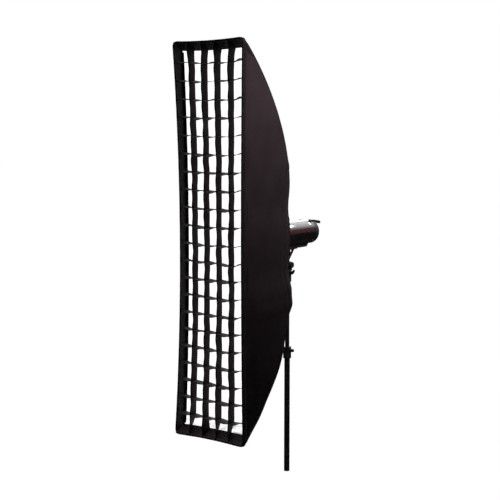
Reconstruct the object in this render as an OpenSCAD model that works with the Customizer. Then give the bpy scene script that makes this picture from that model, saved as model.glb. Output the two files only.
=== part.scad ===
// Strip softbox on a studio flash head, with tilt bracket and the upper part of a light stand.
// Millimetres. +Z is up, the softbox faces -Y, the origin is the centre of the stand tube's lower end.

/* [Softbox] */
// Width of the front opening
box_w = 350; // [300:5:400]
// Height of the front opening
box_h = 1600; // [1400:20:1700]
// Depth from the front edge to the ring
box_depth = 460; // [440:5:480]
// Exponent of the curve that the rods bend into
rod_curve = 2.25; // [2:0.05:2.5]
// Thickness of the fabric shell
cloth_t = 3; // [2:0.5:3]
// Diameter of a flexible rod
rod_d = 8; // [6:0.5:8]
// Columns of cells in the grid
grid_cols = 5; // [4:1:6]
// Rows of cells in the grid
grid_rows = 22; // [16:1:24]
// Thickness of a grid strip
strip_t = 1.2; // [1:0.1:2]

/* [Flash head] */
// Height of the lamp axis above the tube's lower end
axis_z = 1070; // [1060:1:1080]
// Diameter of the barrel
head_d = 108; // [106:1:110]
// Length of the barrel
barrel_len = 220; // [215:1:225]
// Wall of the barrel
barrel_wall = 2.5; // [2:0.1:3]

/* [Bracket] */
// Distance from the lamp axis down to the tilt bolt
tilt_drop = 137; // [135:1:140]
// Diameter of the stand's spigot
spigot_d = 15.9; // [15.5:0.1:16]
// Diameter of the tilt knob
tilt_knob_d = 27; // [24:1:30]

/* [Stand] */
// Outer diameter of the lower tube
tube_d = 25; // [24.5:0.1:26]
// Length of the lower tube
tube_len = 530; // [525:1:535]
// Outer diameter of the riser tube
riser_d = 19; // [18:0.1:19.4]
// Height of the riser tube's lower end at rest
riser_low = 200; // [180:5:240]

/* [Hidden] */
$fn = 64;
soft_gap = 0.3;                       // free space round a soft solid
run_gap = 0.05;                       // radial clearance of a running fit
face_gap = 0.3;                       // axial free space between turning parts
eps = 1;                              // overshoot of a cutting solid

front_y = -box_depth - 110;           // plane of the softbox's front edge
ring_y = -110.4;                      // rear face of the speedring
ring_t = 15.3;                        // thickness of the speedring
ring_r = 74;
hub_r = 50;                           // hub that the speedring turns on
ring_bore_r = 41;                     // opening for the lamp's dome
opening = 88;                         // half size of the shell's rear opening
ring_half_w = 75;                     // half width of the shell at the lamp axis, if it went on
curve_reach = box_h / 2 + 10;
hem_depth = 18.5;
curve_steps = 20;

head_r = head_d / 2;
barrel_y0 = -70;
barrel_y1 = barrel_y0 + barrel_len;
cap_len = 32;
cap_y1 = barrel_y1 + cap_len;
pivot_z = axis_z - tilt_drop;
rail_z = axis_z - 66;

riser_r = riser_d / 2;
spigot_r = spigot_d / 2;
collar_z = tube_len + 21;             // axis of the collar's clamp screw
tube_neck_r = tube_d / 2 - 0.2;
spigot_screw_z = pivot_z - 35;
knob_screw_r = 3;

// ---- shapes used more than once ----

// Cylinder along X from x0 to x1
module x_cyl(r, x0, x1) translate([x0, 0, 0]) rotate([0, 90, 0]) cylinder(r = r, h = x1 - x0);

// Cylinder along Y from y0 to y1
module y_cyl(r, y0, y1) translate([0, y0, 0]) rotate([-90, 0, 0]) cylinder(r = r, h = y1 - y0);

// Tube along Y
module y_tube(r_out, r_in, y0, y1) difference() {
  y_cyl(r_out, y0, y1);
  y_cyl(r_in, y0 - eps, y1 + eps);
}

// Tube along Z
module z_tube(r_out, r_in, z0, z1) translate([0, 0, z0]) difference() {
  cylinder(r = r_out, h = z1 - z0);
  translate([0, 0, -eps]) cylinder(r = r_in, h = z1 - z0 + 2 * eps);
}

// Cylinder from point a to point b
module rod_between(a, b, r) {
  v = b - a;
  translate(a) rotate([0, acos(v.z / norm(v)), atan2(v.y, v.x)]) cylinder(r = r, h = norm(v));
}

// Box with its middle at p
module block(p, size) translate(p) cube(size, center = true);

// Outline drawn in Y and Z, extruded along X about the middle
module along_x(w) rotate([90, 0, 90]) linear_extrude(height = w, center = true) children();

// Knob along X with finger grooves round its rim
module lobed_knob(r, x0, x1, lobes) difference() {
  x_cyl(r, x0, x1);
  for (i = [0 : lobes - 1]) rotate([i * 360 / lobes, 0, 0]) translate([0, 0, r * 1.18])
    x_cyl(r * 0.34, x0 - eps, x1 + eps);
}

module at_axis() translate([0, 0, axis_z]) children();

// ---- curve of the softbox ----
// s is the height above the lamp axis, and depth_at(s) is how far back the shell is there

function depth_at(s) = box_depth * (1 - pow(s / curve_reach, rod_curve));
function slope_at(s) = -box_depth * rod_curve / curve_reach * pow(s / curve_reach, rod_curve - 1);
function height_at(d) = curve_reach * pow(1 - d / box_depth, 1 / rod_curve);
function half_w(s) = ring_half_w + (box_w / 2 - ring_half_w) * s / (box_h / 2);
function stations(s0, s1) = [for (i = [0 : curve_steps]) s0 + (s1 - s0) * i / curve_steps];
function unit(v) = v / norm(v);

// Outward normal of the curve in Y and Z, and of the side's curve in X and Y
function edge_normal(s) = unit([1, -slope_at(s)]);
function side_normal(s) = let (k = (box_w / 2 - ring_half_w) / (box_h / 2)) unit([-slope_at(s), k]);

shell_s1 = height_at(hem_depth + soft_gap + 1);
shell_s = stations(opening, shell_s1);

// Band of cloth seen from the side, as points in Y and Z
function edge_band(t) = concat(
  [for (s = shell_s) [front_y + depth_at(s), s]],
  [for (i = [curve_steps : -1 : 0]) let (s = shell_s[i])
    [front_y + depth_at(s), s] - t * edge_normal(s)]);

// Band of cloth of one side seen from above, as points in X and Y
function side_band(t) = concat(
  [for (s = shell_s) [half_w(s), front_y + depth_at(s)]],
  [for (i = [curve_steps : -1 : 0]) let (s = shell_s[i])
    [half_w(s), front_y + depth_at(s)] - t * side_normal(s)]);

// Flexible rods: each runs inside its corner of the shell
rod_inset = 12;
rod_s0 = 50;
rod_s1 = box_h / 2 - 48;
rod_x0 = 52;
rod_x1 = half_w(rod_s1) - 14;
rod_steps = 22;
function rod_point(s, side, up) = let (n = edge_normal(s)) [
  side * (rod_x0 + (rod_x1 - rod_x0) * (s - rod_s0) / (rod_s1 - rod_s0)),
  front_y + depth_at(s) - rod_inset * n.x,
  axis_z + up * (s - rod_inset * n.y)];

// Swept rod with flat ends
module rod(side, up) {
  sides = 8;
  path = [for (i = [0 : rod_steps]) rod_point(rod_s0 + 2 + (rod_s1 - rod_s0 - 2) * i / rod_steps, side, up)];
  function heading(i) = unit(path[min(i + 1, rod_steps)] - path[max(i - 1, 0)]);
  points = [for (i = [0 : rod_steps]) let (t = heading(i), u = unit(cross(t, [1, 0, 0])), v = cross(t, u))
    for (k = [0 : sides - 1]) path[i] + rod_d / 2 * (u * cos(k * 360 / sides) + v * sin(k * 360 / sides))];
  walls = [for (i = [0 : rod_steps - 1], k = [0 : sides - 1]) let (a = i * sides, n = (k + 1) % sides)
    [a + k, a + n, a + sides + n, a + sides + k]];
  ends = [[for (k = [sides - 1 : -1 : 0]) k], [for (k = [0 : sides - 1]) rod_steps * sides + k]];
  polyhedron(points, concat(walls, ends));
}

// ---- stand ----

// The tube's top is turned down a little where the collar sits on it
module stand_tube() color([0.07, 0.07, 0.08]) difference() {
  union() {
    cylinder(r = tube_d / 2, h = collar_z - 36);
    cylinder(r = tube_neck_r, h = tube_len);
  }
  translate([0, 0, -eps]) cylinder(r = tube_d / 2 - 1.2, h = tube_len + 2 * eps);
}

module stand_collar() color([0.04, 0.04, 0.04]) difference() {
  union() {
    translate([0, 0, collar_z - 36]) cylinder(r = 18, h = 52);
    translate([0, 0, collar_z]) x_cyl(7.5, 14, 20.5);
  }
  translate([0, 0, collar_z - 37]) cylinder(r = tube_neck_r + run_gap, h = tube_len + 4 - collar_z + 37);
  translate([0, 0, collar_z - 30]) cylinder(r = riser_r + 0.4, h = 60);
  translate([0, 0, collar_z]) x_cyl(knob_screw_r + 0.1, 5, 30);
}

module collar_bush() color([0.75, 0.75, 0.72]) difference() {
  union() {
    translate([0, 0, tube_len - 30]) cylinder(r = tube_d / 2 - 1.25, h = 30);
    translate([0, 0, tube_len]) cylinder(r = tube_neck_r - 0.1, h = 3.5);
  }
  translate([0, 0, tube_len - 31]) cylinder(r = riser_r + run_gap, h = 40);
}

module collar_knob() color([0.04, 0.04, 0.04]) translate([0, 0, collar_z]) {
  lobed_knob(7, 21, 33, 6);
  x_cyl(knob_screw_r, riser_r + face_gap, 22);
}

module riser_tube() color([0.07, 0.07, 0.08]) z_tube(riser_r, riser_r - 1, riser_low, pivot_z - 95);

module riser_plug() color([0.75, 0.75, 0.72]) difference() {
  translate([0, 0, riser_low - 12]) cylinder(r = tube_d / 2 - 1.2 - run_gap, h = 12);
  translate([0, 0, riser_low - 13]) cylinder(r = 4, h = 14);
}

module stand_spigot() color([0.55, 0.55, 0.57]) {
  translate([0, 0, pivot_z - 125]) cylinder(r = riser_r - 1.03, h = 30);
  translate([0, 0, pivot_z - 95]) cylinder(r = riser_r + 0.6, h = 5);
  translate([0, 0, pivot_z - 90]) cylinder(r = spigot_r, h = 62);
}

// ---- tilt bracket ----
arm_half = 6;
ear_in = 8.5;
ear_out = 15;
lever_x = 20.5;                       // inner face of the spigot lever's hub

module bracket_socket() color([0.05, 0.05, 0.05]) difference() {
  union() {
    translate([0, 0, pivot_z - 75]) cylinder(r = 17.5, h = 52);
    block([0, 0, pivot_z - 22], [2 * ear_out, 30, 8]);
    for (side = [-1, 1]) {
      block([side * (ear_in + ear_out) / 2, 0, pivot_z - 11], [ear_out - ear_in, 30, 22]);
      translate([side * (ear_in + ear_out) / 2 - (ear_out - ear_in) / 2, 0, pivot_z])
        x_cyl(15, 0, ear_out - ear_in);
    }
    translate([0, 0, spigot_screw_z]) x_cyl(8, 14, lever_x - face_gap);
  }
  translate([0, 0, pivot_z - 76]) cylinder(r = spigot_r + run_gap, h = 49);
  translate([0, 0, spigot_screw_z]) x_cyl(knob_screw_r + 0.1, 5, 30);
  translate([0, 0, pivot_z]) x_cyl(4.05, -30, 30);
}

module spigot_lever() color([0.04, 0.04, 0.04]) translate([0, 0, spigot_screw_z]) {
  x_cyl(knob_screw_r, spigot_r + face_gap, lever_x + 1);
  x_cyl(7, lever_x, lever_x + 7.5);
  translate([lever_x, 0, 0])
    along_y_plate(6) polygon([[3, -6], [11, -3], [17, 7], [17, 14], [13, 14], [3, 6]]);
}

// Outline drawn in X and Z, given a thickness along Y about the middle
module along_y_plate(t) rotate([90, 0, 0]) linear_extrude(height = t, center = true) children();

module tilt_bolt() color([0.6, 0.6, 0.62]) translate([0, 0, pivot_z]) {
  x_cyl(4, -ear_out - 1, ear_out + 9);
  rotate([30, 0, 0]) translate([-ear_out - 6, 0, 0]) rotate([0, 90, 0]) cylinder(r = 8, h = 6, $fn = 6);
}

module tilt_knob() color([0.04, 0.04, 0.04]) translate([0, 0, pivot_z]) difference() {
  lobed_knob(tilt_knob_d / 2, ear_out + face_gap, ear_out + 12, 8);
  x_cyl(4 + run_gap, ear_out, ear_out + 9.5);
}

module tilt_washers() color([0.6, 0.6, 0.62]) translate([0, 0, pivot_z])
  for (side = [-1, 1]) translate([side * (arm_half + 1.3), 0, 0]) difference() {
    x_cyl(12, -1, 1);
    x_cyl(4.3, -2, 2);
  }

arm_screw_y = [-24, 26];
arm_web = 7;                          // thickness of the arm's plate

// Slot through the arm's plate, between two round ends at [y, z below the rail]
module arm_slot(a, b, r) hull() for (p = [a, b]) translate([0, p.x, rail_z - p.y]) x_cyl(r, -20, 20);

module tilt_arm() color([0.05, 0.05, 0.05]) difference() {
  union() {
    translate([0, 0, pivot_z]) x_cyl(14, -arm_half, arm_half);
    along_x(arm_web) polygon([[-14, pivot_z], [13, pivot_z + 5], [11, pivot_z + 21],
      [52, rail_z - 3], [-38, rail_z - 3]]);
    block([0, 7, rail_z - 2], [32, 90, 4]);
  }
  translate([0, 0, pivot_z]) x_cyl(4 + run_gap, -20, 20);
  arm_slot([22, 11], [30, 11], 5);
  arm_slot([1, 39], [7, 29], 5.5);
  for (y = arm_screw_y, x = [-12, 12]) translate([x, y, rail_z - 10]) cylinder(r = 2.1, h = 20);
}

module arm_screws() color([0.6, 0.6, 0.62]) for (y = arm_screw_y, x = [-12, 12]) {
  translate([x, y, rail_z - 6.5]) cylinder(r = 3.4, h = 2.5);
  translate([x, y, rail_z - 5]) cylinder(r = 2, h = 11);
}

// ---- flash head ----

module bottom_rail() color([0.03, 0.03, 0.03]) difference() {
  along_x(34) polygon([[-60, rail_z], [128, rail_z], [143, rail_z + 15], [-60, rail_z + 15]]);
  at_axis() y_cyl(head_r + 0.05, -80, 160);
  for (y = arm_screw_y, x = [-12, 12]) translate([x, y, rail_z - eps]) cylinder(r = 2.05, h = 8);
}

// Small screws that hold the rear cap, each pointing at the lamp axis
module radial_screws(r_head, r_shank) for (a = [45 : 90 : 315])
  at_axis() rotate([0, a, 0]) translate([0, barrel_y1 - 5, 0]) {
    translate([0, 0, head_r - 5]) cylinder(r = r_shank, h = 5.5);
    translate([0, 0, head_r + 0.2]) cylinder(r = r_head, h = 1.4);
  }

module head_barrel() color([0.06, 0.06, 0.065]) difference() {
  at_axis() y_tube(head_r, head_r - barrel_wall, barrel_y0, barrel_y1);
  radial_screws(1, 1.6);
}

mount_y0 = -104;
slider_y = -85.5;
module front_mount_ring() color([0.05, 0.05, 0.05]) difference() {
  at_axis() y_cyl(head_r + 3, mount_y0, barrel_y0 + 4);
  at_axis() y_cyl(47.2, mount_y0 - eps, -84);
  at_axis() y_cyl(44, -85, -60);
  at_axis() y_cyl(head_r + 0.05, barrel_y0, -60);
  block([0, slider_y - 0.5, axis_z + 52], [5.8, 11.4, 20]);
}

module release_slider() color([0.5, 0.5, 0.52]) {
  block([0, slider_y - 0.5, axis_z + head_r + 5.9], [13, 16, 5]);
  for (i = [-2 : 2]) block([0, slider_y - 0.5 + i * 3, axis_z + head_r + 8.7], [11, 1.4, 1]);
  block([0, slider_y - 3, axis_z + head_r], [5, 5, 8]);
}

// Where the controls stand on the rear cap: X, and Z above the lamp axis
dial_at = [24, 2];
button_at = [[-30, 3], [-16, 3], [-2, 3]];
rocker_at = [-26, -20];
inlet_at = [4, -27];
fuse_at = [31, -19];
jack_at = [32, 22];
window_at = [-2, 23];
window_size = [38, 15];
button_r = 4;
jack_r = 5.5;

module at_rear(p) translate([p[0], 0, axis_z + p[1]]) children();

module rear_cap() color([0.03, 0.03, 0.03]) difference() {
  at_axis() rotate([-90, 0, 0]) rotate_extrude() difference() {
    union() {
      square([head_r - barrel_wall - 0.1, barrel_y1]);
      translate([0, barrel_y1]) square([head_r, cap_len - 10]);
      translate([0, barrel_y1]) square([head_r - 10, cap_len]);
      translate([head_r - 10, cap_y1 - 10]) circle(r = 10);
    }
    square([head_r + 1, barrel_y1 - 10]);
    translate([-1, barrel_y1 - 11]) square([head_r - barrel_wall - 1.9, cap_len - 4 + 11]);
  }
  at_rear(dial_at) y_cyl(3 + run_gap, 170, 190);
  for (p = button_at) at_rear(p) y_cyl(button_r + 0.3, 170, 190);
  at_rear(rocker_at) block([0, 180, 0], [13, 20, 21]);
  at_rear(inlet_at) block([0, 180, 0], [28, 20, 21]);
  at_rear(fuse_at) y_cyl(6.5, 170, 190);
  at_rear(jack_at) y_cyl(jack_r, 170, 190);
  at_rear(window_at) block([0, cap_y1, 0], [window_size[0], 3, window_size[1]]);
  for (i = [-3 : 3]) block([i * 9, barrel_y1 + 11, axis_z + 50], [3, 14, 20]);
  radial_screws(1, 1.55);
}

module rear_handle() color([0.03, 0.03, 0.03]) {
  for (side = [-1, 1]) along_x_at(side * 26, 9)
    polygon([[136, 48.5], [150, 48.5], [218, 33], [223, 38], [221, 44], [212, 47], [160, 54], [136, 54]]);
  at_axis() translate([0, 217, 40]) x_cyl(6.5, -21.5, 21.5);
}

// Outline drawn in Y and Z about the lamp axis, as a plate of thickness t at x
module along_x_at(x, t) difference() {
  translate([x, 0, axis_z]) along_x(t) children();
  at_axis() y_cyl(head_r + 0.05, 100, cap_y1 + face_gap);
}

// Part of a thin tube round the barrel, between two angles above the horizontal, on both sides
module barrel_strip(a0, a1, t) at_axis() for (flip = [0, 1]) mirror([flip, 0, 0])
  translate([0, barrel_y0 + 6, 0]) rotate([-90, 0, 0]) rotate([0, 0, -a1])
    rotate_extrude(angle = a1 - a0, $fn = 128)
      translate([head_r + 0.02, 0]) square([t, barrel_len - 18]);

module side_stripes() color([0.28, 0.03, 0.04]) barrel_strip(6, 20, 0.4);
module side_bands() color([0.2, 0.2, 0.21]) barrel_strip(-60, -46, 0.4);

module reflector_plate() color([0.8, 0.8, 0.8]) at_axis() difference() {
  y_cyl(head_r - barrel_wall - 0.1, -68, -66);
  y_cyl(14.4, -70, -60);
  for (a = [30, 330]) rotate([0, -a, 0]) translate([27, 0, 0]) y_cyl(4.3, -70, -60);
}

module flash_tube() color([0.9, 0.9, 0.85, 0.6]) at_axis() {
  translate([0, -88, 0]) rotate([90, 0, 0]) rotate([0, 0, 30]) rotate_extrude(angle = 300)
    translate([27, 0]) circle(r = 4, $fn = 24);
  for (a = [30, 330]) rotate([0, -a, 0]) translate([27, 0, 0]) {
    translate([0, -88, 0]) sphere(r = 5);
    y_cyl(3.8, -88, -58);
  }
}

module lamp_socket() color([0.9, 0.88, 0.8]) at_axis() y_cyl(14, -72, -40);

module modelling_lamp() color([0.9, 0.9, 0.85, 0.6]) at_axis() {
  y_cyl(8, -108, -72);
  translate([0, -108, 0]) sphere(r = 8);
}

dome_r = 36;
module glass_dome() color([0.85, 0.88, 0.9, 0.4]) at_axis() rotate([90, 0, 0]) rotate_extrude() difference() {
  union() {
    translate([0, 68]) square([dome_r + 4, 3]);
    translate([0, 68]) square([dome_r, 42]);
    intersection() {
      translate([0, 110]) circle(r = dome_r);
      square([100, 200]);
    }
  }
  union() {
    translate([-1, 60]) square([dome_r - 1, 50]);
    intersection() {
      translate([0, 110]) circle(r = dome_r - 2);
      translate([-1, 0]) square([100, 200]);
    }
  }
}

module circuit_board() color([0.05, 0.3, 0.12]) block([0, 159, axis_z], [72, 1.6, 50]);

module capacitors() color([0.1, 0.12, 0.3]) at_axis() for (x = [-18, 18], z = [-18, 18])
  translate([x, 0, z]) y_cyl(16, 10, 80);

fan_y = 100;
module fan_frame() color([0.05, 0.05, 0.05]) at_axis() difference() {
  union() {
    y_tube(head_r - barrel_wall - 0.5, 46, fan_y, fan_y + 12);
    y_cyl(12, fan_y, fan_y + 3);
    for (a = [0 : 120 : 240]) rotate([0, a, 0]) block([29, fan_y + 1.5, 0], [36, 3, 5]);
  }
  y_cyl(2 + run_gap, fan_y - eps, fan_y + 4);
}

module fan_rotor() color([0.1, 0.1, 0.1]) at_axis() {
  y_cyl(13, fan_y + 3.6, fan_y + 12);
  y_cyl(2, fan_y - 2, fan_y + 4);
  for (a = [0 : 360 / 7 : 359]) rotate([0, a, 0]) translate([28, fan_y + 7.8, 0]) rotate([24, 0, 0])
    cube([32, 1.4, 14], center = true);
}

module display_window() color([0.02, 0.03, 0.05]) at_rear(window_at)
  block([0, cap_y1 - 0.6, 0], [window_size[0] - 0.2, 1.7, window_size[1] - 0.2]);

module power_dial() color([0.12, 0.12, 0.12]) at_rear(dial_at) {
  difference() {
    y_cyl(10, cap_y1 + 0.8, cap_y1 + 11);
    for (a = [0 : 20 : 340]) rotate([0, a, 0]) translate([10.4, 0, 0]) y_cyl(0.9, 180, 200);
    block([0, cap_y1 + 11, 6.5], [1.2, 1.2, 5]);
  }
  y_cyl(3, 164, cap_y1 + 2);
}

module button(p) at_rear(p) {
  y_cyl(button_r, 166, cap_y1 + 2.5);
  y_cyl(button_r + 1.6, 172, 174);
}
module test_button() color([0.6, 0.08, 0.06]) button(button_at[0]);
module model_button() color([0.35, 0.35, 0.36]) button(button_at[1]);
module slave_button() color([0.35, 0.35, 0.36]) button(button_at[2]);

rocker_y = 176;
module power_switch() color([0.05, 0.05, 0.05]) at_rear(rocker_at)
  translate([0, rocker_y, 0]) {
    rotate([-8, 0, 0]) along_x(11.6)
      polygon([[-5, -3], [-5, 3], [0, 8.6], [8, 8.6], [6, 0], [8, -8.6], [0, -8.6]]);
    x_cyl(1.6, -6.3, 6.3);
  }

module power_inlet() color([0.04, 0.04, 0.04]) at_rear(inlet_at) {
  difference() {
    block([0, 172, 0], [27.8, 23, 20.8]);
    block([0, 176, 0], [24, 20, 17]);
  }
  for (p = [[-7, -2], [7, -2], [0, -5]]) block([p[0], 171.5, p[1]], [2, 14, 4]);
}

module fuse_cap() color([0.05, 0.05, 0.05]) at_rear(fuse_at) difference() {
  union() {
    y_cyl(6.45, 168, cap_y1);
    y_cyl(8, cap_y1, cap_y1 + 5);
  }
  block([0, cap_y1 + 5, 0], [10, 2.4, 1.4]);
}

module sync_jack() color([0.6, 0.6, 0.62]) at_rear(jack_at) difference() {
  union() {
    y_cyl(jack_r - 0.05, 166, cap_y1);
    y_cyl(7, cap_y1, cap_y1 + 1.6);
  }
  y_cyl(3.2, 168, cap_y1 + 5);
}

module cap_screws() color([0.5, 0.5, 0.5]) radial_screws(2.8, 1.5);

// ---- softbox ----

module adapter_plate() color([0.6, 0.6, 0.62]) at_axis() difference() {
  union() {
    y_cyl(46.9, -104.5, -86);
    y_cyl(60, ring_y + face_gap, mount_y0 - 0.2);
  }
  y_cyl(ring_bore_r, -140, -80);
}

// The hub that the speedring turns on, with the flange that keeps the ring on it
module ring_retainer() color([0.6, 0.6, 0.62]) at_axis() difference() {
  union() {
    y_cyl(hub_r + 4, ring_y - ring_t - face_gap - 3, ring_y - ring_t - face_gap);
    y_cyl(hub_r, ring_y - ring_t - face_gap - 1, ring_y + face_gap);
  }
  y_cyl(ring_bore_r, -140, -80);
}

module speedring() color([0.65, 0.65, 0.67]) difference() {
  union() {
    at_axis() y_cyl(ring_r, ring_y - ring_t, ring_y);
    for (side = [-1, 1], up = [-1, 1]) rod_between(rod_point(36, side, up), rod_point(82, side, up), rod_d);
  }
  at_axis() y_cyl(hub_r + run_gap + 0.02, -140, -100);
  for (side = [-1, 1], up = [-1, 1])
    rod_between(rod_point(rod_s0, side, up), rod_point(90, side, up), rod_d / 2 + 0.4);
  at_axis() translate([0, ring_y - ring_t / 2, 0]) x_cyl(knob_screw_r + 0.1, 40, 80);
}

module ring_lock_screw() color([0.05, 0.05, 0.05]) at_axis() translate([0, ring_y - ring_t / 2, 0]) {
  lobed_knob(5.6, ring_r + face_gap, ring_r + 9, 6);
  x_cyl(knob_screw_r, hub_r + face_gap, ring_r + 2);
}

module rod_upper_right() color([0.75, 0.75, 0.7]) rod(1, 1);
module rod_upper_left() color([0.75, 0.75, 0.7]) rod(-1, 1);
module rod_lower_right() color([0.75, 0.75, 0.7]) mirror_rod(1);
module rod_lower_left() color([0.75, 0.75, 0.7]) mirror_rod(-1);

// A lower rod is an upper one mirrored about the lamp axis
module mirror_rod(side) translate([0, 0, 2 * axis_z]) mirror([0, 0, 1]) rod(side, 1);

module rod_caps() color([0.05, 0.05, 0.05]) for (side = [-1, 1], up = [-1, 1]) difference() {
  rod_between(rod_point(rod_s1 - 14, side, up), rod_point(rod_s1 + 5, side, up), 6.5);
  rod_between(rod_point(rod_s1 - 20, side, up), rod_point(rod_s1 + 0.4, side, up), rod_d / 2 + 0.5);
}

module side_panel(side) intersection() {
  at_axis() linear_extrude(height = box_h, center = true)
    polygon([for (p = side_band(cloth_t)) [side * p.x, p.y]]);
  at_axis() along_x(box_w + 20) polygon(concat(
    [for (s = shell_s) [front_y + depth_at(s), s]], [[front_y + hem_depth, shell_s1]],
    [[front_y + hem_depth, -shell_s1]],
    [for (i = [curve_steps : -1 : 0]) [front_y + depth_at(shell_s[i]), -shell_s[i]]]));
}
module side_panel_right() color([0.11, 0.1, 0.1]) side_panel(1);
module side_panel_left() color([0.11, 0.1, 0.1]) side_panel(-1);

// Upper or lower panel, narrower than the space between the side panels
module end_panel() intersection() {
  along_x(box_w) polygon(edge_band(cloth_t));
  along_y_plate(2 * box_depth + 400)
    polygon([for (p = [[-1, 0], [1, 0], [1, 900], [-1, 900]]) [p.x * (half_w(p.y) - 8), p.y]]);
}
module top_panel() color([0.11, 0.1, 0.1]) at_axis() end_panel();
module bottom_panel() color([0.08, 0.08, 0.08]) at_axis() mirror([0, 0, 1]) end_panel();

// Flat frame in the plane of the front, from y0 to y1
module frame_plate(half, edge, y0, y1) at_axis() translate([0, (y0 + y1) / 2, 0]) along_y_plate(y1 - y0)
  difference() {
    square([2 * half.x, 2 * half.y], center = true);
    square([2 * (half.x - edge), 2 * (half.y - edge)], center = true);
  }

module front_hem() color([0.03, 0.03, 0.03])
  frame_plate([box_w / 2, box_h / 2], cloth_t + 0.5, front_y, front_y + hem_depth);

sleeve_y = ring_y - 1.1;
module back_sleeve() color([0.05, 0.05, 0.05]) at_axis() {
  difference() {
    block([0, sleeve_y + 1.25, 0], [2 * opening - 1, 2.5, 2 * opening - 1]);
    y_cyl(77, sleeve_y - eps, sleeve_y + 5);
  }
  y_tube(79, 76, sleeve_y, sleeve_y + 6.5);
  y_tube(79, 62, sleeve_y + 3.5, sleeve_y + 6.5);
  y_tube(64.5, 62, sleeve_y + 6, sleeve_y + 14);
}

module inner_diffuser() color([0.95, 0.95, 0.95]) block([0, front_y + 230, axis_z], [240, 1.5, 1120]);

diffuser_y = front_y + 42;
module front_diffuser() color([1, 1, 1])
  block([0, diffuser_y + 1, axis_z], [box_w - 22, 2, box_h - 66]);

module diffuser_border() color([0.03, 0.03, 0.03])
  frame_plate([box_w / 2 - 13, box_h / 2 - 35], 24, diffuser_y - 2, diffuser_y - soft_gap);

// Grid of fabric strips inside the lip
grid_half = [box_w / 2 - 8, box_h / 2 - 27];
grid_y0 = front_y + 1;
grid_y1 = diffuser_y - 3;
module grid() color([0.03, 0.03, 0.03]) at_axis() translate([0, (grid_y0 + grid_y1) / 2, 0]) {
  depth = grid_y1 - grid_y0;
  col = 2 * grid_half.x / grid_cols;
  row = 2 * grid_half.y / grid_rows;
  for (i = [0 : grid_cols])
    cube_at([-grid_half.x + i * col, 0], [strip_t, depth, 2 * grid_half.y + strip_t]);
  for (j = [0 : grid_rows])
    cube_at([0, -grid_half.y + j * row], [2 * grid_half.x + strip_t, depth, strip_t]);
}
module cube_at(p, size) translate([p.x, 0, p.y]) cube(size, center = true);

stand_tube();
stand_collar();
collar_bush();
collar_knob();
riser_tube();
riser_plug();
stand_spigot();
bracket_socket();
spigot_lever();
tilt_bolt();
tilt_knob();
tilt_washers();
tilt_arm();
arm_screws();
head_barrel();
front_mount_ring();
rear_cap();
bottom_rail();
rear_handle();
side_stripes();
side_bands();
release_slider();
reflector_plate();
flash_tube();
lamp_socket();
modelling_lamp();
glass_dome();
circuit_board();
capacitors();
fan_frame();
fan_rotor();
display_window();
power_dial();
test_button();
model_button();
slave_button();
power_switch();
power_inlet();
fuse_cap();
sync_jack();
cap_screws();
adapter_plate();
ring_retainer();
speedring();
ring_lock_screw();
rod_upper_right();
rod_upper_left();
rod_lower_right();
rod_lower_left();
rod_caps();
side_panel_right();
side_panel_left();
top_panel();
bottom_panel();
front_hem();
back_sleeve();
inner_diffuser();
front_diffuser();
diffuser_border();
grid();
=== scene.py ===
import math
import random

import bpy
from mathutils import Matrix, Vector, noise


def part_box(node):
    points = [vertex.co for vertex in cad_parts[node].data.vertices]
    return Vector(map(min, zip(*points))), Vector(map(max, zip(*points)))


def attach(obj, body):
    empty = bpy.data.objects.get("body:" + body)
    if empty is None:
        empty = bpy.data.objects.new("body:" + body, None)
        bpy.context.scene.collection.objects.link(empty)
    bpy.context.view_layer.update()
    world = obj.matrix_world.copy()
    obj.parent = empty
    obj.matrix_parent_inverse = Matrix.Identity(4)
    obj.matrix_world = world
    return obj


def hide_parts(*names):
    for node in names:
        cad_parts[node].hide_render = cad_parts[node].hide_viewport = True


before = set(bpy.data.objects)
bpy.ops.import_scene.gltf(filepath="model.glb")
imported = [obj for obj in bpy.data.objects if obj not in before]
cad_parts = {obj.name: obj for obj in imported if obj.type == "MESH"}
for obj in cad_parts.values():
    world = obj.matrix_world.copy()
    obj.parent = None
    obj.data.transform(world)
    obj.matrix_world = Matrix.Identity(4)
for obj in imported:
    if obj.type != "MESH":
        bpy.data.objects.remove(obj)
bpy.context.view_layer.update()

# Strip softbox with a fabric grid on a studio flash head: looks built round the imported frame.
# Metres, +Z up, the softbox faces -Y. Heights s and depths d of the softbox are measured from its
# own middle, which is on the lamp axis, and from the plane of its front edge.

# ---------------------------------------------------------------- sizes taken from the frame

hem_low, hem_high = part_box("front_hem")
HALF_W = (hem_high.x - hem_low.x) / 2
HALF_H = (hem_high.z - hem_low.z) / 2
AXIS_Z = (hem_high.z + hem_low.z) / 2
FRONT_Y = hem_low.y
grid_low, grid_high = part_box("grid")
baffle_low, baffle_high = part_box("inner_diffuser")
barrel_low, barrel_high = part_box("head_barrel")
BARREL_R = (barrel_high.z - barrel_low.z) / 2

# The curve of the rods, as in the CAD model
BOX_DEPTH = 0.46
CURVE_REACH = HALF_H + 0.01
CURVE_POWER = 2.25
RING_HALF_W = 0.075
OPENING = 0.088
GRID_COLS = 5
GRID_ROWS = 22


def depth_at(s):
    """How far behind the front plane the shell is at height s above or below the lamp axis."""
    return BOX_DEPTH * (1 - (abs(s) / CURVE_REACH) ** CURVE_POWER)


def half_width(s):
    return RING_HALF_W + (HALF_W - RING_HALF_W) * s / HALF_H


# ---------------------------------------------------------------- materials

def material(name, rough, metallic=0.0, **inputs):
    """A new node material; inputs are constants for the shader's own sockets."""
    mat = bpy.data.materials.new(name)
    mat.use_nodes = True
    shader = mat.node_tree.nodes["Principled BSDF"]
    shader.inputs["Roughness"].default_value = rough
    shader.inputs["Metallic"].default_value = metallic
    for key, value in inputs.items():
        shader.inputs[key.replace("_", " ")].default_value = value
    return mat, mat.node_tree, shader


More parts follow.
